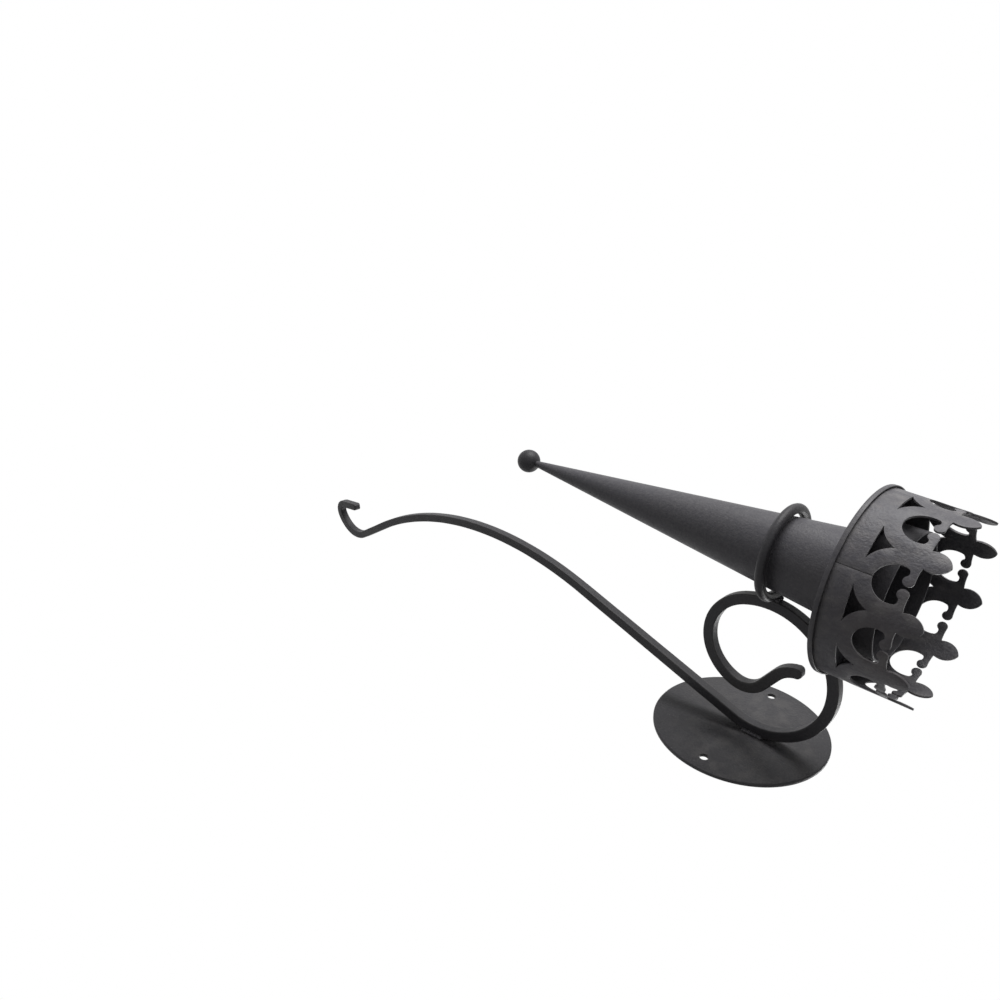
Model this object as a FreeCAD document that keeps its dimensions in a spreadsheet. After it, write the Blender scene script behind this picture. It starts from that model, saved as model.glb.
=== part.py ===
import FreeCAD, Part
import math
import os
import Sketcher

# Wall torch sconce of forged bar and sheet, in millimetres.
# +Z is up.  The wall is the plane Y = 0 and the sconce stands out towards -Y.
# The origin is the centre of the wall plate's back face.
# The scroll arm lies in the plane X = 0: from its weld on the plate it runs up through a
# shoulder into a loop, and down through a long arch to a hook at the foot.
# The torch (cone, ball, pan, cup and coronet) drops into the ring on top of the loop.

DRIVING_SIZES = {
    # wall plate
    "plate_diameter": 127.0,
    "plate_thickness": 2.5,
    "plate_hole_bore": 6.5,
    "plate_hole_spacing": 101.0,
    # scroll arm, a square bar bent flat: radii to the bar's centre line, turns in degrees
    "bar_width": 8.0,
    "weld_height": 11.9,
    "bottom_bend_radius": 50.5,
    "bottom_bend_turn": 89.0,
    "shoulder_radius": 52.4,
    "shoulder_turn": 110.5,
    "loop_radius": 35.8,
    "loop_turn": 141.5,
    "curl_radius": 18.6,
    "curl_turn": 72.0,
    "curl_straight": 15.7,
    "flick_radius": 19.4,
    "flick_turn": 49.5,
    "tail_bend_turn": 19.5,
    "tail_straight": 156.6,
    "arch_radius": 358.8,
    "arch_turn": 48.0,
    "foot_straight": 46.3,
    "hook_radius": 35.0,
    "hook_turn": 90.0,
    "crook_radius": 9.5,
    "crook_turn": 114.0,
    "crook_straight": 24.0,
    "bar_end_rounding": 3.2,
    # ring on the loop
    "ring_wire_diameter": 7.0,
    "ring_clearance": 2.0,
    # torch
    "torch_lean": 3.6,
    "cone_length": 274.0,
    "cone_mouth_diameter": 61.8,
    "cone_nose_diameter": 5.4,
    "cone_wall": 1.2,
    "mouth_trim_allowance": 4.0,
    "ball_diameter": 20.0,
    "ball_shank_diameter": 3.0,
    "ball_shank_length": 14.0,
    "shank_clearance": 0.1,
    "pan_diameter": 125.6,
    "pan_thickness": 1.6,
    "pan_lip_height": 3.0,
    "pan_lip_thickness": 1.0,
    "pan_seat_gap": 0.3,
    "pan_tilt": 2.4,
    "cup_diameter": 84.0,
    "cup_height": 26.5,
    "cup_wall": 1.2,
    # coronet, a pierced strip rolled into a slightly tapering band
    "coronet_base_diameter": 122.2,
    "coronet_height": 53.8,
    "coronet_taper": 2.4,
    "coronet_thickness": 1.3,
    "fleur_count": 10.0,
    "fleur_phase": 23.4,
    "opening_radius": 11.4,
    "opening_height": 32.7,
    "knob_radius": 3.0,
    "knob_height": 38.5,
    "knob_gap": 1.8,
    "petal_half_width": 7.1,
    "petal_tip_radius": 8.6,
    "petal_neck_half_width": 6.3,
    "petal_neck_height": 41.6,
    "triangle_half_width": 11.75,
    "triangle_base_height": 14.2,
    "triangle_apex_height": 25.1,
    "seam_width": 0.4,
    # weld beads and tacks
    "arm_weld_leg": 3.0,
    "arm_weld_length": 16.0,
    "ring_weld_length": 10.0,
    "ring_weld_height": 2.6,
    "cone_weld_leg": 2.0,
    "tack_leg": 1.6,
    "tack_arc": 9.0,
    "coronet_tack_count": 5.0,
    "cup_tack_count": 4.0,
    "seam_tack_length": 12.0,
}

doc = FreeCAD.newDocument("torch_sconce")
sheet = doc.addObject("Spreadsheet::Sheet", "Sizes")
for row, (alias, value) in enumerate(DRIVING_SIZES.items(), start=1):
    sheet.set(f"A{row}", alias)
    sheet.set(f"B{row}", str(value))
    sheet.setAlias(f"B{row}", alias)
doc.recompute()


def size(alias):
    """A driving size, read from the sheet."""
    return float(sheet.get(alias))


# ---------------------------------------------------------------- shared sizes
BAR_HALF = size("bar_width") / 2
BAR_OFFSET = size("plate_thickness") + BAR_HALF
RING_WIRE_RADIUS = size("ring_wire_diameter") / 2
LEAN = math.radians(size("torch_lean"))
MOUTH_RADIUS = size("cone_mouth_diameter") / 2
NOSE_RADIUS = size("cone_nose_diameter") / 2
CONE_SLOPE = (MOUTH_RADIUS - NOSE_RADIUS) / size("cone_length")
FLEUR_COUNT = round(size("fleur_count"))


# ---------------------------------------------------------------- helpers
def origin_plane(body, role):
    """One of a body's own origin planes."""
    return next(item for item in body.Origin.OriginFeatures if item.Role == role)


def new_body(name):
    body = doc.addObject("PartDesign::Body", name)
    body.Label = name
    return body


def new_sketch(body, name, role, offset=None):
    sketch = body.newObject("Sketcher::SketchObject", name)
    sketch.AttachmentSupport = [(origin_plane(body, role), "")]
    sketch.MapMode = "FlatFace"
    if offset is not None:
        sketch.AttachmentOffset = FreeCAD.Placement(offset, FreeCAD.Rotation())
    return sketch


def evaluate(formula):
    """The value of a formula of sheet aliases, written as an expression would be."""
    cell = sheet.get
    total = 0.0
    for term in formula.replace("-", "+-").split("+"):
        term = term.strip()
        if not term:
            continue
        sign = -1.0 if term.startswith("-") else 1.0
        product = sign
        factors = term.lstrip("-").replace("/", "*/").split("*")
        for factor in factors:
            divide = factor.startswith("/")
            word = factor.lstrip("/").strip()
            number = float(word) if word.replace(".", "").isdigit() else float(cell(word))
            product = product / number if divide else product * number
        total += product
    return total


def bound(formula):
    """The formula as an expression on the sheet."""
    for sign in "+-*/":
        formula = formula.replace(sign, f" {sign} ")
    words = [f"Sizes.{word}" if word[0].isalpha() else word for word in formula.split()]
    return " ".join(words)


def add_polygon(sketch, corners):
    """A closed polygon whose corners are pairs of formulas, each corner bound to the sheet."""
    points = [FreeCAD.Vector(evaluate(across), evaluate(along), 0) for across, along in corners]
    first = sketch.GeometryCount
    count = len(points)
    for index, point in enumerate(points):
        sketch.addGeometry(Part.LineSegment(point, points[(index + 1) % count]), False)
    for index in range(count):
        after = first + (index + 1) % count
        sketch.addConstraint(Sketcher.Constraint("Coincident", first + index, 2, after, 1))
    for index, (across, along) in enumerate(corners):
        for kind, formula, value in (("DistanceX", across, points[index].x),
                                     ("DistanceY", along, points[index].y)):
            sketch.addConstraint(Sketcher.Constraint(kind, -1, 1, first + index, 1, value))
            sketch.setExpression(f"Constraints[{sketch.ConstraintCount - 1}]", bound(formula))


def add_circle(sketch, across, along, diameter):
    """A circle whose centre and diameter are formulas bound to the sheet."""
    centre = FreeCAD.Vector(evaluate(across), evaluate(along), 0)
    circle = sketch.addGeometry(
        Part.Circle(centre, FreeCAD.Vector(0, 0, 1), evaluate(diameter) / 2), False)
    for kind, formula, value in (("DistanceX", across, centre.x), ("DistanceY", along, centre.y)):
        sketch.addConstraint(Sketcher.Constraint(kind, -1, 1, circle, 3, value))
        sketch.setExpression(f"Constraints[{sketch.ConstraintCount - 1}]", bound(formula))
    sketch.addConstraint(Sketcher.Constraint("Diameter", circle, evaluate(diameter)))
    sketch.setExpression(f"Constraints[{sketch.ConstraintCount - 1}]", bound(diameter))


def revolved_body(name, corners, angle=360.0):
    """A body turned about Z from a polygon in the plane of X and Z."""
    body = new_body(name)
    sketch = new_sketch(body, f"{name}_profile", "XZ_Plane")
    add_polygon(sketch, corners)
    doc.recompute()
    turned = body.newObject("PartDesign::Revolution", f"{name}_turned")
    turned.Profile = sketch
    turned.ReferenceAxis = (sketch, ["V_Axis"])
    turned.Angle = angle
    return body


def feature(name, shape):
    """A sub-part whose shape is computed from the sheet's sizes."""
    item = doc.addObject("Part::Feature", name)
    item.Label = name
    item.Shape = shape
    return item


# ---------------------------------------------------------------- the arm's centre line
def walk(start, heading, steps):
    """Edges of tangent arcs and straights in the plane (Y, Z); angles in degrees.

    A step is (length,) or (radius, turn); a positive turn is to the left.
    """
    here = FreeCAD.Vector(start[0], start[1], 0)
    edges = []
    centres = []
    angle = math.radians(heading)
    for step in steps:
        ahead = FreeCAD.Vector(math.cos(angle), math.sin(angle), 0)
        left = FreeCAD.Vector(-ahead.y, ahead.x, 0)
        if len(step) == 1:
            there = here + ahead * step[0]
            edges.append(Part.LineSegment(here, there))
            centres.append(None)
        else:
            radius, turn = step[0], math.radians(step[1])
            side = math.copysign(1.0, turn)
            centre = here + left * (side * radius)
            spoke = here - centre
            middle = centre + rotated(spoke, turn / 2)
            there = centre + rotated(spoke, turn)
            edges.append(Part.Arc(here, middle, there))
            centres.append(centre)
            angle += turn
        here = there
    return edges, centres, here, math.degrees(angle)


def rotated(vector, turn):
    cosine, sine = math.cos(turn), math.sin(turn)
    return FreeCAD.Vector(vector.x * cosine - vector.y * sine,
                          vector.x * sine + vector.y * cosine, 0)


ARM_START = (-BAR_OFFSET, size("weld_height"))
CROWN_STEPS = [
    (size("bottom_bend_radius"), size("bottom_bend_turn")),
    (size("shoulder_radius"), size("shoulder_turn")),
    (size("loop_radius"), size("loop_turn")),
    (size("curl_radius"), size("curl_turn")),
    (size("curl_straight"),),
    (size("flick_radius"), -size("flick_turn")),
]
FOOT_STEPS = [
    (size("bottom_bend_radius"), -size("tail_bend_turn")),
    (size("tail_straight"),),
    (size("arch_radius"), size("arch_turn")),
    (size("foot_straight"),),
    (size("hook_radius"), -size("hook_turn")),
    (size("crook_radius"), -size("crook_turn")),
    (size("crook_straight"),),
]
crown_edges, crown_centres, crown_end, crown_heading = walk(ARM_START, 90.0, CROWN_STEPS)
foot_edges, foot_centres, foot_end, foot_heading = walk(ARM_START, -90.0, FOOT_STEPS)
shoulder_centre = crown_centres[1]
loop_centre = crown_centres[2]

# The ring stands on the shoulder's outermost point, seen along the torch's lean.  The torch
# hangs by its pan, whose rim comes down on the same shoulder nearer the wall.
AXIS_UP = FreeCAD.Vector(0, math.sin(LEAN), math.cos(LEAN))
AXIS_WALL = FreeCAD.Vector(0, math.cos(LEAN), -math.sin(LEAN))
shoulder_top = FreeCAD.Vector(0, shoulder_centre.x, shoulder_centre.y) - AXIS_WALL * (
    size("shoulder_radius") + BAR_HALF)


def seat_torch():
    """The ring's radius and the height of the pan's underside above the ring."""
    middle = FreeCAD.Vector(0, shoulder_centre.x, shoulder_centre.y)
    gap = size("pan_seat_gap") + BAR_HALF * math.sin(math.radians(size("pan_tilt")))
    reach = size("shoulder_radius") + BAR_HALF + gap
    lift = reach
    for _ in range(6):
        radius = MOUTH_RADIUS - CONE_SLOPE * lift + size("ring_clearance") + RING_WIRE_RADIUS
        centre = shoulder_top - AXIS_WALL * (RING_WIRE_RADIUS + radius)
        rim = centre + AXIS_WALL * (size("pan_diameter") / 2)
        aside = (middle - rim).dot(AXIS_WALL)
        if abs(aside) >= reach:
            raise ValueError("the pan is too small to rest on the shoulder")
        lift = (middle - rim).dot(AXIS_UP) + math.sqrt(reach ** 2 - aside ** 2)
    return radius, centre, lift


RING_RADIUS, ring_centre, PAN_LIFT = seat_torch()
torch_base = ring_centre + AXIS_UP * PAN_LIFT
LEAN_ROTATION = FreeCAD.Rotation(FreeCAD.Vector(1, 0, 0), -size("torch_lean"))
TORCH_PLACEMENT = FreeCAD.Placement(torch_base, LEAN_ROTATION)
RING_PLACEMENT = FreeCAD.Placement(ring_centre, LEAN_ROTATION)
# The pan is welded a little out of square, and the cup and coronet stand on the pan.
CROWN_PLACEMENT = FreeCAD.Placement(torch_base, LEAN_ROTATION.multiply(
    FreeCAD.Rotation(FreeCAD.Vector(0, 1, 0), size("pan_tilt"))))


# ---------------------------------------------------------------- bracket pieces
def make_wall_plate():
    """Round plate with two screw holes level with its centre."""
    body = new_body("wall_plate")
    sketch = new_sketch(body, "plate_outline", "XZ_Plane")
    add_circle(sketch, "0", "0", "plate_diameter")
    for side in ("plate_hole_spacing/2", "-plate_hole_spacing/2"):
        add_circle(sketch, side, "0", "plate_hole_bore")
    doc.recompute()
    pad = body.newObject("PartDesign::Pad", "plate_pad")
    pad.Profile = sketch
    pad.setExpression("Length", "Sizes.plate_thickness")
    doc.recompute()
    if pad.Shape.BoundBox.YMin > -0.1:
        pad.Reversed = True
        doc.recompute()
    rim = [f"Edge{number}" for number, edge in enumerate(pad.Shape.Edges, start=1)
           if edge.BoundBox.YMax < -size("plate_thickness") + 0.01
           and edge.BoundBox.XLength > size("plate_hole_spacing")]
    rounding = body.newObject("PartDesign::Fillet", "plate_rounding")
    rounding.Base = (pad, rim)
    rounding.setExpression("Radius", "Sizes.plate_thickness * 0.4")
    return body


def add_path(body, name, edges):
    """A path sketch in the plane of Y and Z; the plane's own axes are Y across and Z up."""
    sketch = new_sketch(body, name, "YZ_Plane")
    for edge in edges:
        sketch.addGeometry(edge, False)
    return sketch


def make_scroll_arm():
    """One square bar, swept both ways from its weld on the plate."""
    body = new_body("scroll_arm")
    section = new_sketch(body, "bar_section", "XY_Plane",
                         FreeCAD.Vector(0, 0, size("weld_height")))
    section.setExpression("AttachmentOffset.Base.z", "Sizes.weld_height")
    near_face = "-plate_thickness-bar_width"
    add_polygon(section, [("-bar_width/2", near_face), ("bar_width/2", near_face),
                          ("bar_width/2", "-plate_thickness"),
                          ("-bar_width/2", "-plate_thickness")])
    sweeps = (("crown", crown_edges), ("foot", foot_edges))
    for name, edges in sweeps:
        path = add_path(body, f"{name}_path", edges)
        doc.recompute()
        pipe = body.newObject("PartDesign::AdditivePipe", f"{name}_sweep")
        pipe.Profile = section
        pipe.Spine = (path, [f"Edge{number}" for number in range(1, len(edges) + 1)])
        doc.recompute()
    ends = [FreeCAD.Vector(0, point.x, point.y) for point in (crown_end, foot_end)]
    swept = body.Tip
    cross_edges = []
    for number, edge in enumerate(swept.Shape.Edges, start=1):
        middle = edge.CenterOfMass
        straight = edge.BoundBox.XLength > size("bar_width") * 0.98
        at_end = min((middle - end).Length for end in ends) < BAR_HALF * 1.1
        if straight and at_end:
            cross_edges.append(f"Edge{number}")
    rounding = body.newObject("PartDesign::Fillet", "bar_end_rounding")
    rounding.Base = (swept, cross_edges)
    rounding.setExpression("Radius", "Sizes.bar_end_rounding")
    return body


def make_torch_ring():
    """Round rod bent into a ring and stood on the loop."""
    ring = doc.addObject("Part::Torus", "torch_ring")
    ring.Label = "torch_ring"
    ring.Radius1 = RING_RADIUS
    ring.setExpression("Radius2", "Sizes.ring_wire_diameter / 2")
    ring.Placement = RING_PLACEMENT
    return ring


def make_arm_weld():
    """A fillet bead on each side of the bar, where its bend touches the plate."""
    leg = size("arm_weld_leg")
    half_length = size("arm_weld_length") / 2
    front = -size("plate_thickness")
    beads = []
    for side in (-1, 1):
        corner = FreeCAD.Vector(side * BAR_HALF, front, 0)
        triangle = Part.makePolygon([
            corner,
            corner + FreeCAD.Vector(side * leg, 0, 0),
            corner + FreeCAD.Vector(0, -leg, 0),
            corner,
        ])
        triangle.translate(FreeCAD.Vector(0, 0, size("weld_height") - half_length))
        bead = Part.Face(triangle).extrude(FreeCAD.Vector(0, 0, 2 * half_length))
        toes = [edge for edge in bead.Edges
                if edge.BoundBox.ZLength < 0.01 and edge.BoundBox.XLength > leg * 0.9
                and edge.BoundBox.YLength > leg * 0.9]
        beads.append(bead.makeFillet(leg * 0.4, toes))
    return feature("arm_weld", Part.makeCompound(beads))


def make_ring_weld(ring, arm):
    """Beads that fill the wedges between the ring's rod and the bar below it."""
    length = size("ring_weld_length")
    height = size("ring_weld_height")
    block = Part.makeBox(size("bar_width"), height + BAR_HALF, length,
                         FreeCAD.Vector(-BAR_HALF, -height, -length / 2))
    block.Placement = FreeCAD.Placement(shoulder_top, RING_PLACEMENT.Rotation).multiply(
        block.Placement)
    wedges = block.cut(ring.Shape).cut(arm.Shape)
    near = [solid for solid in wedges.Solids
            if abs((solid.CenterOfMass - shoulder_top).dot(AXIS_WALL)) < height
            and (solid.CenterOfMass - shoulder_top).dot(AXIS_WALL) < BAR_HALF / 4]
    return feature("ring_weld", Part.makeCompound(near))


# ---------------------------------------------------------------- torch pieces
def make_torch_cone():
    """Rolled sheet cone with a bore in its nose, its mouth trimmed to the pan's underside."""
    bore = "ball_shank_diameter/2+shank_clearance"
    spare = "mouth_trim_allowance"
    flare = f"{spare}*cone_mouth_diameter/2/cone_length"
    shrink = f"{spare}*cone_nose_diameter/2/cone_length"
    long_cone = revolved_body("long_cone", [
        (bore, "-cone_length"),
        ("cone_nose_diameter/2", "-cone_length"),
        (f"cone_mouth_diameter/2+{flare}-{shrink}", spare),
        (f"cone_mouth_diameter/2-cone_wall+{flare}-{shrink}", spare),
        (bore, "-cone_length+ball_shank_diameter"),
    ])
    long_cone.Placement = TORCH_PLACEMENT
    trim = doc.addObject("Part::Cylinder", "mouth_trim")
    trim.setExpression("Radius", "Sizes.pan_diameter / 2")
    trim.setExpression("Height", "Sizes.mouth_trim_allowance * 2")
    trim.Placement = CROWN_PLACEMENT
    cone = doc.addObject("Part::Cut", "torch_cone")
    cone.Label = "torch_cone"
    cone.Base = long_cone
    cone.Tool = trim
    return cone


def make_ball_finial():
    """Forged ball with a flat land under the cone's nose and a shank inside it."""
    ball = doc.addObject("Part::Sphere", "ball_round")
    ball.setExpression("Radius", "Sizes.ball_diameter / 2")
    ball.setExpression("Angle2", "acos(Sizes.cone_nose_diameter / Sizes.ball_diameter)")
    shank = doc.addObject("Part::Cylinder", "ball_shank")
    shank.setExpression("Radius", "Sizes.ball_shank_diameter / 2")
    shank.setExpression("Height", "Sizes.ball_diameter / 2 + Sizes.ball_shank_length")
    joined = doc.addObject("Part::Fuse", "ball_finial")
    joined.Label = "ball_finial"
    joined.Base = ball
    joined.Tool = shank
    land = math.sqrt((size("ball_diameter") / 2) ** 2 - NOSE_RADIUS ** 2)
    drop = FreeCAD.Placement(FreeCAD.Vector(0, 0, -size("cone_length") - land),
                             FreeCAD.Rotation())
    joined.Placement = TORCH_PLACEMENT.multiply(drop)
    return joined


def make_drip_pan():
    """Sheet disc with a low upright lip, welded on the cone's mouth."""
    lip_inside = "pan_diameter/2-pan_lip_thickness"
    body = revolved_body("drip_pan", [
        ("0", "0"),
        ("pan_diameter/2", "0"),
        ("pan_diameter/2", "pan_lip_height"),
        (lip_inside, "pan_lip_height"),
        (lip_inside, "pan_thickness"),
        ("0", "pan_thickness"),
    ])
    doc.recompute()
    turned = body.Tip
    rims = [f"Edge{number}" for number, edge in enumerate(turned.Shape.Edges, start=1)
            if edge.BoundBox.ZLength < 0.01 and len(edge.Vertexes) == 1
            and edge.Curve.Radius > size("pan_diameter") / 2 - 0.01]
    rounding = body.newObject("PartDesign::Fillet", "pan_rounding")
    rounding.Base = (turned, rims)
    rounding.setExpression("Radius", "Sizes.pan_lip_thickness * 0.4")
    body.Placement = CROWN_PLACEMENT
    return body


def make_candle_cup():
    """Straight cup for a pillar candle, standing on the pan."""
    top = "pan_thickness+cup_height"
    floor = "pan_thickness+cup_wall"
    body = revolved_body("candle_cup", [
        ("0", "pan_thickness"),
        ("cup_diameter/2", "pan_thickness"),
        ("cup_diameter/2", top),
        ("cup_diameter/2-cup_wall", top),
        ("cup_diameter/2-cup_wall", floor),
        ("0", floor),
    ])
    body.Placement = CROWN_PLACEMENT
    return body


def arc_through(*points):
    return Part.Arc(*[FreeCAD.Vector(*point) for point in points]).toShape()


def line_through(*points):
    return Part.LineSegment(*[FreeCAD.Vector(*point) for point in points]).toShape()


def wedge(outline, reference):
    """A cutter that tapers to the torch's axis, so its outline keeps its angles at any radius.

    The outline is a list of point lists (across, height) at the reference radius.
    """
    wires = []
    for distance in (reference * 0.72, reference * 1.25):
        scale = distance / reference
        edges = []
        for run in outline:
            spots = [(distance, across * scale, height) for across, height in run]
            edges.append(arc_through(*spots) if len(spots) == 3 else line_through(*spots))
        wires.append(Part.Wire(edges))
    return Part.makeLoft(wires, True, True)


def on_circle(centre, radius, start, end):
    """The point halfway round a circle's shorter arc from start to end."""
    away = ((start[0] + end[0]) / 2 - centre[0], (start[1] + end[1]) / 2 - centre[1])
    reach = radius / math.hypot(*away)
    return centre[0] + away[0] * reach, centre[1] + away[1] * reach


def around(centre, radius, degrees):
    """The point of a circle at an angle from its right-hand side."""
    angle = math.radians(degrees)
    return centre[0] + radius * math.cos(angle), centre[1] + radius * math.sin(angle)


def gap_outline(half_pitch):
    """The open space between two fleurs: round opening, curled knobs and petal sides."""
    radius = size("opening_radius")
    middle = size("opening_height")
    base = size("pan_thickness")
    knob = size("knob_radius")
    knob_at = (size("knob_gap") / 2 + knob, size("knob_height"))
    recess = math.asin((knob_at[1] - 0.76 * knob - middle) / radius)
    hook = (radius * math.cos(recess), middle + radius * math.sin(recess))
    side_angle = (recess - math.pi / 2) / 2
    flank_low = (radius * math.cos(side_angle), middle + radius * math.sin(side_angle))
    knob_outer = around(knob_at, knob, -28)
    knob_inner = around(knob_at, knob, 208)
    knob_top = around(knob_at, knob, 84)
    crest = ((hook[0] + knob_outer[0]) / 2, knob_at[1] - 0.36 * knob)
    neck = (half_pitch - size("petal_neck_half_width"), size("petal_neck_height"))
    sag = ((knob_top[0] + neck[0]) / 2, (knob_top[1] + neck[1]) / 2 - knob * 0.1)
    tip = (half_pitch, size("coronet_height"))
    above = (half_pitch, tip[1] + knob)
    bow = size("petal_tip_radius")
    bow_at = (half_pitch - size("petal_half_width") + bow,
              tip[1] - math.sqrt(bow ** 2 - (bow - size("petal_half_width")) ** 2))
    wide = (half_pitch - size("petal_half_width"), bow_at[1])
    shoulder = on_circle(bow_at, bow, wide, tip)
    across, rise = neck[0] - wide[0], wide[1] - neck[1]
    heel = (across ** 2 + rise ** 2) / (2 * across)
    waist = on_circle((wide[0] + heel, wide[1]), heel, neck, wide)
    side = [
        [(0, middle - radius), flank_low, hook],
        [hook, crest, knob_outer],
        [knob_outer, knob_inner, knob_top],
        [knob_top, sag, neck],
        [neck, waist, wide],
        [wide, shoulder, tip],
        [tip, above],
    ]
    mirrored = [[(-across, height) for across, height in reversed(run)] for run in reversed(side)]
    top = [[above, (-above[0], above[1])]]
    runs = side + top + mirrored
    return [[(across, base + height) for across, height in run] for run in runs]


def triangle_outline(half_pitch):
    """The three-cornered piercing under a fleur, its sides following the round openings."""
    base = size("pan_thickness")
    half = size("triangle_half_width")
    low = size("triangle_base_height")
    apex = (0, size("triangle_apex_height"))
    bow = size("opening_radius") / 6
    mid = (half / 2, (low + apex[1]) / 2)
    run = math.hypot(half, apex[1] - low)
    inward = (mid[0] - bow * (apex[1] - low) / run, mid[1] - bow * half / run)
    runs = [
        [(-half, low), (half, low)],
        [(half, low), inward, apex],
        [apex, (-inward[0], inward[1]), (-half, low)],
    ]
    return [[(across, base + height) for across, height in run] for run in runs]


def coronet_radius(height):
    """Outer radius of the coronet at a height above the pan."""
    return size("coronet_base_diameter") / 2 - height * math.tan(
        math.radians(size("coronet_taper")))


def band_shape():
    base = size("pan_thickness")
    top = size("coronet_height")
    sheet_metal = size("coronet_thickness")
    corners = [
        (coronet_radius(0), base),
        (coronet_radius(top), base + top),
        (coronet_radius(top) - sheet_metal, base + top),
        (coronet_radius(0) - sheet_metal, base),
    ]
    points = [FreeCAD.Vector(across, 0, height) for across, height in corners]
    face = Part.Face(Part.makePolygon(points + [points[0]]))
    return face.revolve(FreeCAD.Vector(0, 0, 0), FreeCAD.Vector(0, 0, 1), 360)


def turned_about_axis(shape, angle):
    copy = shape.copy()
    copy.rotate(FreeCAD.Vector(0, 0, 0), FreeCAD.Vector(0, 0, 1), angle)
    return copy


def make_coronet():
    """Pierced band with a fleur over every triangle and a butt seam under one opening."""
    reference = coronet_radius(0)
    pitch = 360.0 / FLEUR_COUNT
    half_pitch = reference * math.tan(math.radians(pitch / 2))
    gap = wedge(gap_outline(half_pitch), reference)
    triangle = wedge(triangle_outline(half_pitch), reference)
    seam_height = size("opening_height") - size("opening_radius") / 2
    seam = Part.makeBox(reference, size("seam_width"), seam_height,
                        FreeCAD.Vector(reference / 2, -size("seam_width") / 2,
                                       size("pan_thickness")))
    cutters = [turned_about_axis(seam, size("fleur_phase") - 1.5 * pitch)]
    for number in range(FLEUR_COUNT):
        turn = size("fleur_phase") + number * pitch
        cutters.append(turned_about_axis(triangle, turn))
        cutters.append(turned_about_axis(gap, turn + pitch / 2))
    pierced = band_shape().cut(cutters)
    solid = max(pierced.Solids, key=lambda item: item.Volume)
    item = feature("coronet", solid)
    item.Placement = CROWN_PLACEMENT
    return item


def turned_bead(corners, start, arc):
    """A bead of triangular section turned about the torch's axis over an arc."""
    points = [FreeCAD.Vector(across, 0, height) for across, height in corners]
    face = Part.Face(Part.makePolygon(points + [points[0]]))
    bead = face.revolve(FreeCAD.Vector(0, 0, 0), FreeCAD.Vector(0, 0, 1), arc)
    return turned_about_axis(bead, start - arc / 2)


def make_cone_weld():
    """Bead all round between the cone's mouth and the pan's underside."""
    leg = size("cone_weld_leg")
    bead = turned_bead([
        (MOUTH_RADIUS - leg, 0),
        (MOUTH_RADIUS + leg, 0),
        (MOUTH_RADIUS + leg / 4, -leg),
        (MOUTH_RADIUS - leg, -leg),
    ], 0, 360)
    bead.Placement = CROWN_PLACEMENT
    spare = size("mouth_trim_allowance")
    core = Part.makeCone(NOSE_RADIUS, MOUTH_RADIUS + CONE_SLOPE * spare,
                         size("cone_length") + spare,
                         FreeCAD.Vector(0, 0, -size("cone_length")))
    core.Placement = TORCH_PLACEMENT.multiply(core.Placement)
    return feature("cone_weld", bead.cut(core))


def make_tacks(name, radius, inward, count, phase):
    """Short tacks in the corner between the pan and an upright sheet wall."""
    leg = size("tack_leg")
    top = size("pan_thickness")
    side = -1 if inward else 1
    arc = math.degrees(size("tack_arc") / radius)
    corners = [(radius, top), (radius + side * leg, top), (radius, top + leg)]
    tacks = [turned_bead(corners, phase + number * 360.0 / count, arc)
             for number in range(count)]
    item = feature(name, Part.makeCompound(tacks))
    item.Placement = CROWN_PLACEMENT
    return item


def make_coronet_tacks():
    """Tacks inside the band; their inner wall follows the band's taper."""
    leg = size("tack_leg")
    top = size("pan_thickness")
    lean = math.tan(math.radians(size("coronet_taper")))
    radius = coronet_radius(0) - size("coronet_thickness")
    arc = math.degrees(size("tack_arc") / radius)
    count = round(size("coronet_tack_count"))
    corners = [(radius, top), (radius - leg, top), (radius - leg * lean, top + leg)]
    phase = size("fleur_phase")
    tacks = [turned_bead(corners, phase + number * 360.0 / count, arc)
             for number in range(count)]
    item = feature("coronet_tacks", Part.makeCompound(tacks))
    item.Placement = CROWN_PLACEMENT
    return item


def make_seam_tack():
    """A bead up the inside of the coronet's butt seam."""
    leg = size("tack_leg")
    angle = size("fleur_phase") - 1.5 * 360.0 / FLEUR_COUNT
    low = size("pan_thickness") + 2 * leg
    high = low + size("seam_tack_length")
    lean = math.tan(math.radians(size("coronet_taper")))
    inner = coronet_radius(0) - size("coronet_thickness")
    block = Part.makeBox(leg * 2, 2 * leg, high - low,
                         FreeCAD.Vector(inner - leg * 1.6, -leg, low))
    core = Part.makeCone(inner - (low - size("pan_thickness")) * lean,
                         inner - (high - size("pan_thickness")) * lean, high - low,
                         FreeCAD.Vector(0, 0, low), FreeCAD.Vector(0, 0, 1))
    bead = block.common(core)
    item = feature("coronet_seam_weld", turned_about_axis(bead, angle))
    item.Placement = CROWN_PLACEMENT
    return item


# ---------------------------------------------------------------- assembly
wall_plate = make_wall_plate()
scroll_arm = make_scroll_arm()
torch_ring = make_torch_ring()
doc.recompute()
sub_parts = [
    wall_plate,
    scroll_arm,
    make_arm_weld(),
    torch_ring,
    make_ring_weld(torch_ring, scroll_arm),
    make_torch_cone(),
    make_ball_finial(),
    make_drip_pan(),
    make_cone_weld(),
    make_candle_cup(),
    make_tacks("cup_tacks", size("cup_diameter") / 2, False,
               round(size("cup_tack_count")), 45.0),
    make_coronet(),
    make_coronet_tacks(),
    make_seam_tack(),
]
doc.recompute()

for item in doc.Objects:
    if "Invalid" in item.State or "Error" in item.State:
        raise RuntimeError(f"{item.Name} failed to build: {item.State}")
for item in sub_parts:
    if item.Shape.isNull() or not item.Shape.isValid():
        raise RuntimeError(f"{item.Label} has no valid shape")

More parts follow.
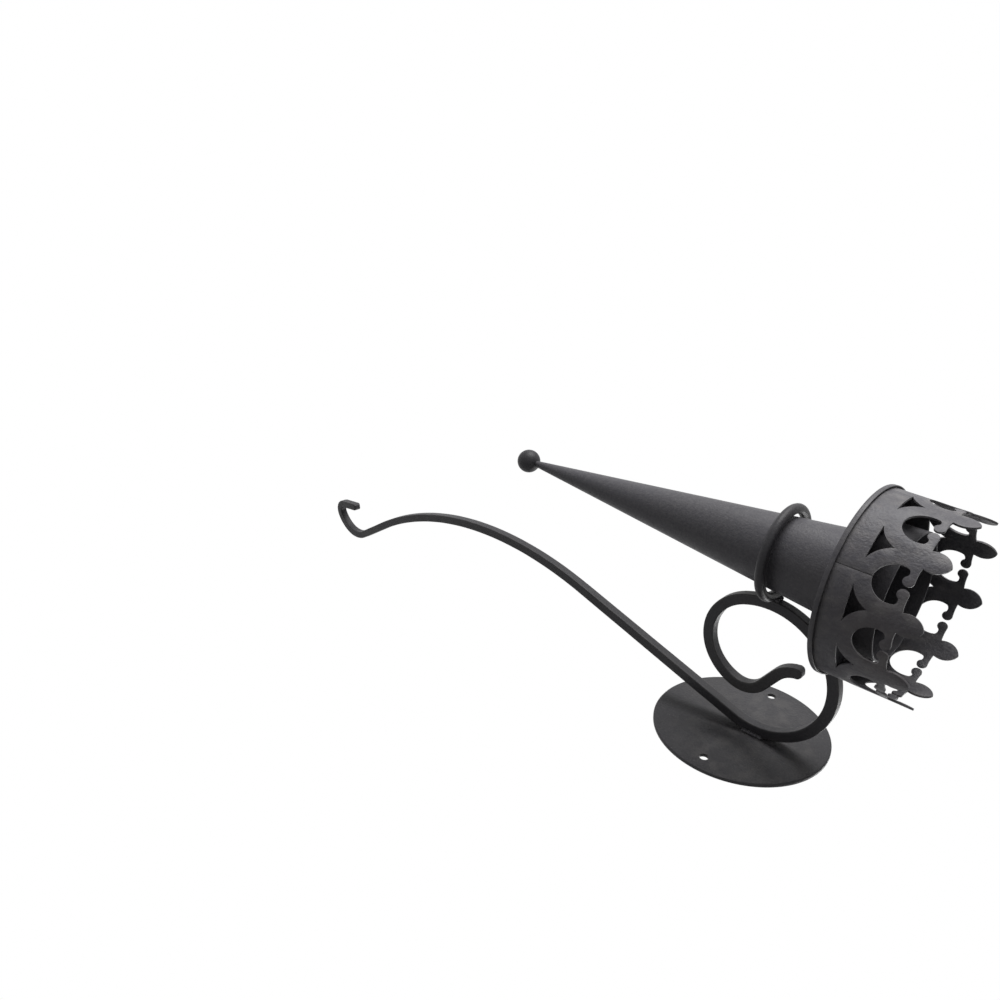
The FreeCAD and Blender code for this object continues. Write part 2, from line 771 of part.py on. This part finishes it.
os.makedirs("parts", exist_ok=True)
for item in sub_parts:
    item.Shape.exportStep(f"parts/{item.Label}.step")
    box = item.Shape.BoundBox
    print(f"{item.Label}: {len(item.Shape.Solids)} solids, {item.Shape.Volume:.1f} mm3, "
          f"X {box.XMin:.1f}..{box.XMax:.1f} Y {box.YMin:.1f}..{box.YMax:.1f} "
          f"Z {box.ZMin:.1f}..{box.ZMax:.1f}")
print(f"ring centre {ring_centre}, pan lift {PAN_LIFT:.2f}, torch base {torch_base}")
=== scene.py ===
import math
import bmesh
import bpy
from mathutils import Matrix, Vector, noise


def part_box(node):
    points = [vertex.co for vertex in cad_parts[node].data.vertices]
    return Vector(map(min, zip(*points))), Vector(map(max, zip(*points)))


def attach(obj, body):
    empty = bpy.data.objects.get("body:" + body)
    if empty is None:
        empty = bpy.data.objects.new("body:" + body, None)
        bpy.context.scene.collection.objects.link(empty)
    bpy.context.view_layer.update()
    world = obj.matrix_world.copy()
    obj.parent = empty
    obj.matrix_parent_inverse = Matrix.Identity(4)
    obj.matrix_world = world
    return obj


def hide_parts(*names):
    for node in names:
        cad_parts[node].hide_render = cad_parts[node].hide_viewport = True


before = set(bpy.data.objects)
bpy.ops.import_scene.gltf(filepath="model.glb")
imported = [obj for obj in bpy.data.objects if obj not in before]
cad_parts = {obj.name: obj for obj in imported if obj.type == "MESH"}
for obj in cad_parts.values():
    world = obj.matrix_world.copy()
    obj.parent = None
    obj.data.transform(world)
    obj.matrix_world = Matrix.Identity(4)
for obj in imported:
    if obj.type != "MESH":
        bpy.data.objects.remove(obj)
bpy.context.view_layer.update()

MM = 0.001


# ------------------------------------------------------------------ sizes, as in the part
BAR = 8.0 * MM
PLATE_THICKNESS = 2.5 * MM
WELD_HEIGHT = 11.9 * MM
ARM_START = (-PLATE_THICKNESS - BAR / 2, WELD_HEIGHT)
# The bar's runs from its weld: (length,) is a straight, (radius, degrees) a bend, left positive.
CROWN_RUN = [
    (50.5 * MM, 89.0), (52.4 * MM, 110.5), (35.8 * MM, 141.5),
    (18.6 * MM, 72.0), (15.7 * MM,), (19.4 * MM, -49.5),
]
FOOT_RUN = [
    (50.5 * MM, -19.5), (156.6 * MM,), (358.8 * MM, 48.0), (46.3 * MM,),
    (35.0 * MM, -90.0), (9.5 * MM, -114.0), (24.0 * MM,),
]
LEAN = math.radians(3.6)
PAN_TILT = math.radians(2.4)
CONE_LENGTH = 274.0 * MM
MOUTH_RADIUS = 30.9 * MM
NOSE_RADIUS = 2.7 * MM
CONE_WALL = 1.2 * MM
CONE_BORE_RADIUS = 1.6 * MM
BALL_RADIUS = 10.0 * MM
PAN_RADIUS = 62.8 * MM
PAN_LIP = 3.0 * MM
PAN_LIP_WALL = 1.0 * MM
PAN_THICKNESS = 1.6 * MM
CUP_RADIUS = 42.0 * MM
CUP_HEIGHT = 26.5 * MM
CUP_WALL = 1.2 * MM
CORONET_INNER = 59.8 * MM
FLEUR_PHASE = 23.4
RING_ROD_RADIUS = 3.5 * MM
RING_CENTRE = Vector((0, -148.0843, 15.7287)) * MM
TORCH_BASE = Vector((0, -144.9919, 64.8817)) * MM
TORCH_TURN = Matrix.Rotation(-LEAN, 4, "X")
TORCH_FRAME = Matrix.Translation(TORCH_BASE) @ TORCH_TURN
CROWN_FRAME = TORCH_FRAME @ Matrix.Rotation(PAN_TILT, 4, "Y")
RING_FRAME = Matrix.Translation(RING_CENTRE) @ TORCH_TURN


# ------------------------------------------------------------------ camera, floor and light
CAMERA_PLACE = Vector((0.4458, -0.3505, 0.2033))
CAMERA_RIGHT = Vector((-0.7169, 0.0, 0.6972))
CAMERA_UP = Vector((-0.2390, -0.9394, -0.2458))
CAMERA_ROLL = 0.0110
ROOM_STRENGTH = 0.07
FLOOR_HEIGHT = -1.1
LAMP_AIM = (0, -0.1, -0.15)


def place_camera():
    """The photograph's view: the sconce lies on its plate, seen from above its side."""
    data = bpy.data.cameras.new("camera")
    data.sensor_width = 36.0
    data.lens = 26.32
    camera = bpy.data.objects.new("camera", data)
    bpy.context.scene.collection.objects.link(camera)
    across = (CAMERA_RIGHT - CAMERA_UP * CAMERA_ROLL).normalized()
    upward = (CAMERA_UP + CAMERA_RIGHT * CAMERA_ROLL).normalized()
    back = across.cross(upward).normalized()
    turn = Matrix((across, upward, back)).transposed().to_4x4()
    camera.matrix_world = Matrix.Translation(CAMERA_PLACE) @ turn
    bpy.context.scene.camera = camera


def white_to_camera(tree, shade):
    """A mix that shows white to camera, glossy and transmission rays, and shade to the rest."""
    path = tree.nodes.new("ShaderNodeLightPath")
    seen = tree.nodes.new("ShaderNodeMath")
    seen.operation = "MAXIMUM"
    tree.links.new(path.outputs["Is Camera Ray"], seen.inputs[0])
    tree.links.new(path.outputs["Is Glossy Ray"], seen.inputs[1])
    both = tree.nodes.new("ShaderNodeMath")
    both.operation = "MAXIMUM"
    tree.links.new(seen.outputs[0], both.inputs[0])
    tree.links.new(path.outputs["Is Transmission Ray"], both.inputs[1])
    mix = tree.nodes.new("ShaderNodeMixShader")
    tree.links.new(both.outputs[0], mix.inputs[0])
    tree.links.new(shade, mix.inputs[1])
    return mix


def light_world():
    """A dim, even room: white where the camera looks past the sconce."""
    world = bpy.data.worlds.new("studio")
    bpy.context.scene.world = world
    world.use_nodes = True
    tree = world.node_tree
    tree.nodes.clear()
    room = tree.nodes.new("ShaderNodeBackground")
    room.inputs["Color"].default_value = (1, 1, 1, 1)
    room.inputs["Strength"].default_value = ROOM_STRENGTH
    white = tree.nodes.new("ShaderNodeBackground")
    white.inputs["Color"].default_value = (1, 1, 1, 1)
    white.inputs["Strength"].default_value = 1.0
    mix = white_to_camera(tree, room.outputs[0])
    tree.links.new(white.outputs[0], mix.inputs[2])
    out = tree.nodes.new("ShaderNodeOutputWorld")
    tree.links.new(mix.outputs[0], out.inputs["Surface"])


def add_lamp(name, place, wide, power):
    """A square soft lamp turned to the sconce."""
    data = bpy.data.lights.new(name, "AREA")
    data.shape = "SQUARE"
    data.size = wide
    data.energy = power
    lamp = bpy.data.objects.new(name, data)
    bpy.context.scene.collection.objects.link(lamp)
    lamp.matrix_world = Matrix.Translation(Vector(place)) @ (
        (Vector(LAMP_AIM) - Vector(place)).to_track_quat("-Z", "Y").to_matrix().to_4x4())


def lay_floor():
    """A pale floor well below the hanging sconce."""
    mesh = bpy.data.meshes.new("floor")
    shape = bmesh.new()
    bmesh.ops.create_grid(shape, x_segments=1, y_segments=1, size=4.0)
    bmesh.ops.translate(shape, verts=shape.verts, vec=(0, 0, FLOOR_HEIGHT))
    shape.to_mesh(mesh)
    shape.free()
    floor = bpy.data.objects.new("floor", mesh)
    bpy.context.scene.collection.objects.link(floor)
    material = bpy.data.materials.new("pale_floor")
    material.use_nodes = True
    tree = material.node_tree
    tree.nodes.clear()
    matt = tree.nodes.new("ShaderNodeBsdfDiffuse")
    matt.inputs["Color"].default_value = (0.85, 0.85, 0.85, 1)
    glow = tree.nodes.new("ShaderNodeEmission")
    glow.inputs["Strength"].default_value = 1.0
    mix = white_to_camera(tree, matt.outputs[0])
    tree.links.new(glow.outputs[0], mix.inputs[2])
    out = tree.nodes.new("ShaderNodeOutputMaterial")
    tree.links.new(mix.outputs[0], out.inputs["Surface"])
    mesh.materials.append(material)


# ------------------------------------------------------------------ painted iron
def painted_iron(name, shade, tint, peel_size, peel_depth, specks):
    """Satin black paint: orange peel, a faint brown cast, dust specks and paler worn edges; on the
    plate and the coronet its shade also holds painted shade and painted light.
    """
    material = bpy.data.materials.new(name)
    material.use_nodes = True
    tree = material.node_tree
    nodes, links = tree.nodes, tree.links
    paint = nodes["Principled BSDF"]
    place = nodes.new("ShaderNodeTexCoord")

    def grain(scale, detail, roughness=0.5):
        node = nodes.new("ShaderNodeTexNoise")
        node.inputs["Scale"].default_value = scale
        node.inputs["Detail"].default_value = detail
        node.inputs["Roughness"].default_value = roughness
        links.new(place.outputs["Object"], node.inputs["Vector"])
        return node.outputs["Fac"]

    def ramp(source, stops):
        node = nodes.new("ShaderNodeValToRGB")
        while len(node.color_ramp.elements) < len(stops):
            node.color_ramp.elements.new(0.5)
        for element, (position, colour) in zip(node.color_ramp.elements, stops):
            element.position = position
            element.color = (*colour, 1)
        links.new(source, node.inputs["Fac"])
        return node.outputs["Color"]

    def mixed(amount, first, second):
        node = nodes.new("ShaderNodeMix")
        node.data_type = "RGBA"
        links.new(amount, node.inputs[0])
        for socket, value in ((node.inputs[6], first), (node.inputs[7], second)):
            if isinstance(value, tuple):
                socket.default_value = (*value, 1)
            else:
                links.new(value, socket)
        return node.outputs[2]

    def scaled(source, low, high, out_low, out_high):
        node = nodes.new("ShaderNodeMapRange")
        links.new(source, node.inputs["Value"])
        for label, value in (("From Min", low), ("From Max", high),
                             ("To Min", out_low), ("To Max", out_high)):
            node.inputs[label].default_value = value
        return node.outputs[0]

    cloud = ramp(grain(9.0, 3.0), [
        (0.35, (shade * 0.92, shade * 0.89, shade * 0.99)),
        (0.55, (shade, shade * 0.97, shade * 1.10)),
        (0.75, tuple(shade * (1.0 + extra) for extra in tint)),
    ])
    mottle = scaled(grain(420.0, 3.0), 0.38, 0.68, 0.0, 0.6)
    body = mixed(mottle, cloud, (shade * 1.45, shade * 1.40, shade * 1.48))
    rust = scaled(grain(240.0, 4.0, 0.7), 0.63, 0.74, 0.0, 0.7 * tint[0])
    tinted = mixed(rust, body, (shade * 2.6, shade * 1.5, shade * 1.5))
    dust = scaled(grain(900.0, 1.0), 0.73, 0.78, 0.0, specks)
    dusty = mixed(dust, tinted, (0.22, 0.21, 0.21))
    edge = nodes.new("ShaderNodeAttribute")
    edge.attribute_name = "worn_edge"
    rubbed = nodes.new("ShaderNodeMath")
    rubbed.operation = "MULTIPLY"
    links.new(edge.outputs["Fac"], rubbed.inputs[0])
    links.new(scaled(grain(120.0, 4.0), 0.42, 0.66, 0.05, 0.7), rubbed.inputs[1])
    worn = mixed(rubbed.outputs[0], dusty, (shade * 2.2, shade * 2.1, shade * 2.1))
    links.new(worn, paint.inputs["Base Color"])
    links.new(scaled(grain(60.0, 3.0), 0.3, 0.7, 0.42, 0.54), paint.inputs["Roughness"])
    paint.inputs["Specular IOR Level"].default_value = 0.2

    peel = nodes.new("ShaderNodeBump")
    peel.inputs["Strength"].default_value = 0.8
    peel.inputs["Distance"].default_value = peel_depth
    links.new(grain(peel_size, 2.0, 0.55), peel.inputs["Height"])
    waves = nodes.new("ShaderNodeBump")
    waves.inputs["Strength"].default_value = 0.3
    waves.inputs["Distance"].default_value = 0.00018
    links.new(grain(170.0, 2.0), waves.inputs["Height"])
    links.new(peel.outputs["Normal"], waves.inputs["Normal"])
    links.new(waves.outputs["Normal"], paint.inputs["Normal"])
    return material


# The plate's shade is darker than the sheet paint's: painted shade for the torch's shadow falling
# over the plate.
PLATE_PAINT_WITH_PAINTED_SHADE = painted_iron("plate_paint", 0.029, (0.10, 0.04, 0.04), 700.0, 0.00032, 0.35)
BAR_PAINT = painted_iron("bar_paint", 0.030, (0.12, 0.05, 0.03), 750.0, 0.00028, 0.2)
SHEET_PAINT = painted_iron("sheet_paint", 0.060, (0.08, 0.02, 0.06), 700.0, 0.00026, 0.3)
# The coronet's shade is lighter than the sheet paint's: painted light for the key light on the
# band's upper faces.
CORONET_PAINT_WITH_PAINTED_LIGHT = painted_iron("coronet_paint", 0.074, (0.22, 0.06, 0.08), 600.0, 0.00040, 0.4)
WELD_PAINT = painted_iron("weld_paint", 0.060, (0.12, 0.05, 0.02), 1100.0, 0.00025, 0.2)


# ------------------------------------------------------------------ modelling helpers
def finish_piece(shape, name, body, paint, nodes=(), angle=35):
    """Turns a bmesh into a piece that rides on its body and stands for its nodes."""
    bmesh.ops.recalc_face_normals(shape, faces=shape.faces)
    for face in shape.faces:
        face.smooth = True
    limit = math.radians(angle)
    for edge in shape.edges:
        if len(edge.link_faces) == 2 and edge.calc_face_angle() > limit:
            edge.smooth = False
    mesh = bpy.data.meshes.new(name)
    shape.to_mesh(mesh)
    shape.free()
    mesh.materials.append(paint)
    piece = bpy.data.objects.new(name, mesh)
    bpy.context.scene.collection.objects.link(piece)
    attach(piece, body)
    if nodes:
        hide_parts(*nodes)
    return piece


def wear_layer(shape):
    """The layer that says how rubbed a vertex is, from 0 to 1."""
    return (shape.verts.layers.float.get("worn_edge")
            or shape.verts.layers.float.new("worn_edge"))


def bevel_sharp(shape, width, segments=2, angle=40):
    """Eases every sharp edge and marks the eased strip as worn."""
    layer = wear_layer(shape)
    limit = math.radians(angle)
    sharp = [edge for edge in shape.edges
             if len(edge.link_faces) == 2 and edge.calc_face_angle() > limit]
    made = bmesh.ops.bevel(shape, geom=sharp, offset=width, offset_type="OFFSET",
                           segments=segments, profile=0.5, affect="EDGES",
                           clamp_overlap=True, material=-1)
    for vertex in made["verts"]:
        vertex[layer] = 1.0


def copy_of_node(name):
    """A merged copy of a CAD node's mesh."""
    shape = bmesh.new()
    shape.from_mesh(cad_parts[name].data)
    bmesh.ops.remove_doubles(shape, verts=shape.verts, dist=1e-6)
    return shape


def turned(profile, steps, matrix):
    """A closed profile (radius, height) turned a full circle about the piece's own axis."""
    shape = bmesh.new()
    layer = wear_layer(shape)
    points = []
    for radius, height, worn in profile:
        point = shape.verts.new((radius, 0, height))
        point[layer] = worn
        points.append(point)
    edges = [shape.edges.new(pair) for pair in zip(points, points[1:])]
    if profile[0][0] > 1e-7 or profile[-1][0] > 1e-7:
        edges.append(shape.edges.new((points[-1], points[0])))
    bmesh.ops.spin(shape, geom=points + edges, cent=(0, 0, 0), axis=(0, 0, 1), dvec=(0, 0, 0),
                   angle=2 * math.pi, steps=steps, use_merge=True)
    bmesh.ops.remove_doubles(shape, verts=shape.verts, dist=1e-6)
    bmesh.ops.transform(shape, matrix=matrix, verts=shape.verts)
    return shape


# ------------------------------------------------------------------ bracket pieces
def bar_section(shape, centre):
    """A square section with eased corners, as a loop of edges standing across the bar."""
    grid = bmesh.ops.create_grid(shape, x_segments=1, y_segments=1, size=BAR / 2)
    face = grid["verts"][0].link_faces[0]
    bmesh.ops.bevel(shape, geom=list(face.verts), offset=0.85 * MM, offset_type="OFFSET",
                    segments=4, profile=0.5, affect="VERTICES", material=-1)
    bmesh.ops.delete(shape, geom=shape.faces[:], context="FACES_ONLY")
    flats = [edge for edge in shape.edges if edge.calc_length() > BAR / 2]
    bmesh.ops.subdivide_edges(shape, edges=flats, cuts=5)
    layer = wear_layer(shape)
    for vertex in shape.verts:
        inner = min(abs(vertex.co.x), abs(vertex.co.y))
        vertex[layer] = 1.0 if inner > BAR / 2 - 1.0 * MM else 0.0
    bmesh.ops.translate(shape, verts=shape.verts, vec=(0, centre[0], centre[1]))
    return list(shape.verts) + list(shape.edges)


def sweep(shape, ring, start, heading, run):
    """Carries a section along straights and bends; returns its last ring and place."""
    here = Vector((0, start[0], start[1]))
    angle = math.radians(heading)
    for leg in run:
        ahead = Vector((0, math.cos(angle), math.sin(angle)))
        left = Vector((0, -ahead.z, ahead.y))
        if len(leg) == 1:
            count = max(2, round(leg[0] / (4 * MM)))
            for _ in range(count):
                made = bmesh.ops.extrude_edge_only(
                    shape, edges=[item for item in ring if isinstance(item, bmesh.types.BMEdge)])
                ring = [item for item in made["geom"]
                        if not isinstance(item, bmesh.types.BMFace)]
                moved = [item for item in ring if isinstance(item, bmesh.types.BMVert)]
                bmesh.ops.translate(shape, verts=moved, vec=ahead * (leg[0] / count))
            here = here + ahead * leg[0]
        else:
            radius, turn = leg[0], math.radians(leg[1])
            side = math.copysign(1.0, turn)
            centre = here + left * (side * radius)
            count = max(6, round(radius * abs(turn) / (3 * MM)))
            made = bmesh.ops.spin(shape, geom=ring, cent=centre, axis=(1, 0, 0),
                                  dvec=(0, 0, 0), angle=turn, steps=count, use_merge=False)
            ring = made["geom_last"]
            here = centre + Matrix.Rotation(turn, 3, "X") @ (here - centre)
            angle += turn
    return ring, here, Vector((0, math.cos(angle), math.sin(angle)))


def forge_tip(shape, ring, here, ahead, widths):
    """Draws a bar's end out through smaller and smaller sections, then closes it."""
    layer = wear_layer(shape)
    reach = 0.0
    for step, scale_across, scale_side in widths:
        made = bmesh.ops.extrude_edge_only(
            shape, edges=[item for item in ring if isinstance(item, bmesh.types.BMEdge)])
        ring = [item for item in made["geom"] if not isinstance(item, bmesh.types.BMFace)]
        verts = [item for item in ring if isinstance(item, bmesh.types.BMVert)]
        bmesh.ops.translate(shape, verts=verts, vec=ahead * (step * MM))
        reach += step * MM
        middle = here + ahead * reach
        for vertex in verts:
            offset = vertex.co - middle
            across = Vector((1, 0, 0)) * offset.x
            side = offset - across
            vertex.co = middle + across * scale_across + side * scale_side
            vertex[layer] = max(vertex[layer], 0.35)
    bmesh.ops.contextual_create(
        shape, geom=[item for item in ring if isinstance(item, bmesh.types.BMEdge)])


def hammer(shape):
    """Low spots left by the hammer: each vertex sinks by a smooth, uneven amount."""
    shape.normal_update()
    moves = []
    for vertex in shape.verts:
        low = noise.noise(vertex.co * 70.0)
        fine = noise.noise(vertex.co * 230.0 + Vector((3.1, 0.7, 5.2)))
        moves.append(vertex.normal * (-0.10 * MM * max(0.0, low) - 0.05 * MM * max(0.0, fine)))
    for vertex, move in zip(shape.verts, moves):
        vertex.co += move


def make_scroll_arm():
    """The square bar, forged round at both ends, with the small unevenness of hot bending."""
    shape = bmesh.new()
    section = bar_section(shape, ARM_START)
    tip = [(0.9, 0.97, 0.93), (0.9, 0.95, 0.86), (0.8, 0.88, 0.74), (0.5, 0.72, 0.5)]
    crown, here, ahead = sweep(shape, section, ARM_START, 90.0, CROWN_RUN)
    forge_tip(shape, crown, here, ahead, tip)
    foot, here, ahead = sweep(shape, section, ARM_START, -90.0, FOOT_RUN)
    forge_tip(shape, foot, here, ahead, tip)
    bmesh.ops.remove_doubles(shape, verts=shape.verts, dist=1e-6)
    bmesh.ops.recalc_face_normals(shape, faces=shape.faces)
    hammer(shape)
    piece = finish_piece(shape, "scroll_bar", "bracket", BAR_PAINT,
                         ("scroll_arm",), angle=60)
    even = piece.modifiers.new("flat_faces", "WEIGHTED_NORMAL")
    even.keep_sharp = True
    return piece


def make_wall_plate():
    """The plate and its two screw holes, with every rim eased."""
    shape = copy_of_node("wall_plate")
    bevel_sharp(shape, 0.25 * MM, 2)
    return finish_piece(shape, "screw_plate", "bracket", PLATE_PAINT_WITH_PAINTED_SHADE,
                        ("wall_plate",), angle=40)


def make_torch_ring():
    """Round rod carried once round the cone."""
    shape = bmesh.new()
    bmesh.ops.create_circle(shape, cap_ends=False, segments=20, radius=RING_ROD_RADIUS)
    bmesh.ops.rotate(shape, verts=shape.verts, cent=(0, 0, 0),
                     matrix=Matrix.Rotation(math.radians(90), 3, "X"))
    low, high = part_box("torch_ring")
    radius = (high.x - low.x) / 2 - RING_ROD_RADIUS
    bmesh.ops.translate(shape, verts=shape.verts, vec=(radius, 0, 0))
    bmesh.ops.spin(shape, geom=list(shape.verts) + list(shape.edges), cent=(0, 0, 0),
                   axis=(0, 0, 1), dvec=(0, 0, 0), angle=2 * math.pi, steps=96, use_merge=True)
    bmesh.ops.transform(shape, matrix=RING_FRAME, verts=shape.verts)
    wear_layer(shape)
    return finish_piece(shape, "rod_ring", "bracket", BAR_PAINT, ("torch_ring",))


def make_torch_cone():
    """The rolled cone; each mouth vertex is slid along its side to the pan's underside."""
    bore = CONE_BORE_RADIUS
    profile = [(bore, -CONE_LENGTH, 0.0), (NOSE_RADIUS, -CONE_LENGTH, 0.3)]
    rows = 36
    for row in range(1, rows + 1):
        share = row / rows
        profile.append((NOSE_RADIUS + (MOUTH_RADIUS - NOSE_RADIUS) * share,
                        -CONE_LENGTH * (1 - share), 0.0))
    profile.append((MOUTH_RADIUS - CONE_WALL, 0.0, 0.0))
    profile.append((bore, -CONE_LENGTH + 3.0 * MM, 0.0))
    shape = turned(profile, 96, Matrix.Identity(4))
    to_crown = CROWN_FRAME.inverted() @ TORCH_FRAME
    slope = (MOUTH_RADIUS - NOSE_RADIUS) / CONE_LENGTH
    for vertex in shape.verts:
        if vertex.co.z > -1e-6:
            spoke = Vector((vertex.co.x, vertex.co.y, 0)).normalized()
            side = Vector((spoke.x * slope, spoke.y * slope, 1.0))
            height = (to_crown @ vertex.co).z
            rise = (to_crown.to_3x3() @ side).z
            vertex.co -= side * (height / rise)
    bmesh.ops.transform(shape, matrix=TORCH_FRAME, verts=shape.verts)
    return finish_piece(shape, "rolled_cone", "torch", SHEET_PAINT,
                        ("torch_cone",))


def make_drip_pan():
    """The disc, its rolled lip and a bright line where the lip's edge is rubbed."""
    top, lip = PAN_THICKNESS, PAN_LIP
    ease, wall = 0.4 * MM, PAN_LIP_WALL
    profile = [
        (0, 0, 0), (20 * MM, 0, 0), (45 * MM, 0, 0), (PAN_RADIUS - ease, 0, 0.2),
        (PAN_RADIUS - ease * 0.3, ease * 0.3, 1.0), (PAN_RADIUS, ease, 0.5),
        (PAN_RADIUS, lip - ease, 0.5), (PAN_RADIUS - ease * 0.3, lip - ease * 0.3, 1.0),
        (PAN_RADIUS - wall / 2, lip, 1.0), (PAN_RADIUS - wall, lip - ease, 0.6),
        (PAN_RADIUS - wall, top + ease, 0), (PAN_RADIUS - wall - ease, top, 0),
        (45 * MM, top, 0), (20 * MM, top, 0), (0, top, 0),
    ]
    shape = turned(profile, 160, CROWN_FRAME)
    return finish_piece(shape, "pan_disc", "torch", SHEET_PAINT, ("drip_pan",))


def make_candle_cup():
    """The cup, its rim rounded and its foot drawn in where it meets the pan."""
    base, top = PAN_THICKNESS, PAN_THICKNESS + CUP_HEIGHT
    outer, inner = CUP_RADIUS, CUP_RADIUS - CUP_WALL
    ease = 0.3 * MM
    profile = [(0, base, 0), (outer - 1 * MM, base, 0), (outer, base + 1 * MM, 0),
               (outer, top - ease, 0.3), (outer - ease, top, 0.3), (inner + ease, top, 0.3),
               (inner, top - ease, 0.3), (inner, base + 3 * MM, 0),
               (inner - 1.6 * MM, base + CUP_WALL, 0), (0, base + CUP_WALL, 0)]
    shape = turned(profile, 128, CROWN_FRAME)
    return finish_piece(shape, "pillar_cup", "torch", SHEET_PAINT,
                        ("candle_cup",))


def make_ball():
    """The forged ball under the cone's nose."""
    shape = bmesh.new()
    bmesh.ops.create_icosphere(shape, subdivisions=5, radius=BALL_RADIUS)
    land = math.sqrt(BALL_RADIUS ** 2 - NOSE_RADIUS ** 2)
    bmesh.ops.translate(shape, verts=shape.verts, vec=(0, 0, -CONE_LENGTH - land))
    bmesh.ops.transform(shape, matrix=TORCH_FRAME, verts=shape.verts)
    wear_layer(shape)
    return finish_piece(shape, "forged_ball", "torch", BAR_PAINT,
                        ("ball_finial",))


def make_coronet():
    """The pierced band with its cut edges eased and rubbed."""
    shape = copy_of_node("coronet")
    bmesh.ops.dissolve_limit(shape, angle_limit=math.radians(1.2), use_dissolve_boundaries=False,
                             verts=shape.verts, edges=shape.edges)
    bevel_sharp(shape, 0.22 * MM, 2, 55)
    bmesh.ops.triangulate(shape, faces=[face for face in shape.faces if len(face.verts) > 4])
    return finish_piece(shape, "pierced_band", "torch", CORONET_PAINT_WITH_PAINTED_LIGHT,
                        ("coronet",), angle=40)


def weld_bead(name, node, body, spots, radius):
    """A weld as a row of overlapping drops, each a little different, as the puddle freezes."""
    shape = bmesh.new()
    layer = wear_layer(shape)
    for number, spot in enumerate(spots):
        swell = 1.0 + 0.10 * math.sin(2.7 * number) + 0.05 * math.cos(5.3 * number)
        made = bmesh.ops.create_icosphere(shape, subdivisions=2, radius=radius * swell)
        bmesh.ops.translate(shape, verts=made["verts"], vec=spot)
        for vertex in made["verts"]:
            vertex[layer] = 0.25
    return finish_piece(shape, name, body, WELD_PAINT, (node,), angle=60)


def spots_between(first, last, count):
    """Evenly spaced points on a line."""
    return [Vector(first).lerp(Vector(last), index / (count - 1)) for index in range(count)]


def spots_round(matrix, radius, height, middle, arc, count):
    """Points on an arc about the torch's axis; angles in degrees."""
    spots = []
    for index in range(count):
        angle = math.radians(middle - arc / 2 + arc * index / (count - 1))
        spots.append(matrix @ Vector((radius * math.cos(angle), radius * math.sin(angle), height)))
    return spots


def make_welds():
    """Every bead and tack, in the corner that its CAD solid fills."""
    front = -PLATE_THICKNESS - 0.7 * MM
    low, high = WELD_HEIGHT - 6.6 * MM, WELD_HEIGHT + 6.6 * MM
    spots = []
    for side in (-1, 1):
        across = side * (BAR / 2 + 0.7 * MM)
        spots += spots_between((across, front, low), (across, front, high), 9)
    weld_bead("arm_bead", "arm_weld", "bracket", spots, 1.75 * MM)
    corner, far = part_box("ring_weld")
    middle = (corner.y + far.y) / 2
    spots = []
    for across in (-2.7 * MM, 0.0, 2.7 * MM):
        spots += spots_between((across, middle - 0.4 * MM, corner.z + 1.4 * MM),
                               (across, middle + 0.4 * MM, far.z - 1.4 * MM), 6)
    weld_bead("ring_bead", "ring_weld", "bracket", spots, 1.45 * MM)
    around = spots_round(CROWN_FRAME, MOUTH_RADIUS + 0.3 * MM, -0.7 * MM, 180, 356, 88)
    weld_bead("cone_bead", "cone_weld", "torch", around, 1.25 * MM)
    spots = []
    for number in range(4):
        spots += spots_round(CROWN_FRAME, CUP_RADIUS + 0.3 * MM, PAN_THICKNESS + 0.3 * MM,
                             45 + 90 * number, 9.0, 5)
    weld_bead("cup_beads", "cup_tacks", "torch", spots, 1.2 * MM)
    spots = []
    for number in range(5):
        spots += spots_round(CROWN_FRAME, CORONET_INNER - 0.3 * MM, PAN_THICKNESS + 0.3 * MM,
                             FLEUR_PHASE + 72 * number, 6.5, 5)
    weld_bead("coronet_beads", "coronet_tacks", "torch", spots, 1.2 * MM)
    angle = math.radians(FLEUR_PHASE - 54)
    out = Vector((math.cos(angle), math.sin(angle), 0))
    first = CROWN_FRAME @ (out * (CORONET_INNER - 0.8 * MM) + Vector((0, 0, 6.0 * MM)))
    last = CROWN_FRAME @ (out * (CORONET_INNER - 1.2 * MM) + Vector((0, 0, 15.5 * MM)))
    weld_bead("seam_beads", "coronet_seam_weld", "torch", spots_between(first, last, 8), 1.2 * MM)


# ------------------------------------------------------------------ the scene
place_camera()
light_world()
lay_floor()
add_lamp("key", (-0.6, -2.2, 0.05), 1.5, 70.0)
add_lamp("side", (1.9, -0.7, 0.4), 1.2, 1.5)
add_lamp("rear", (-1.5, 1.8, 0.5), 1.2, 22.0)

make_scroll_arm()
make_wall_plate()
make_torch_ring()
make_torch_cone()
make_drip_pan()
make_candle_cup()
make_ball()
make_coronet()
make_welds()

view = bpy.context.scene.view_settings
view.view_transform = "Standard"
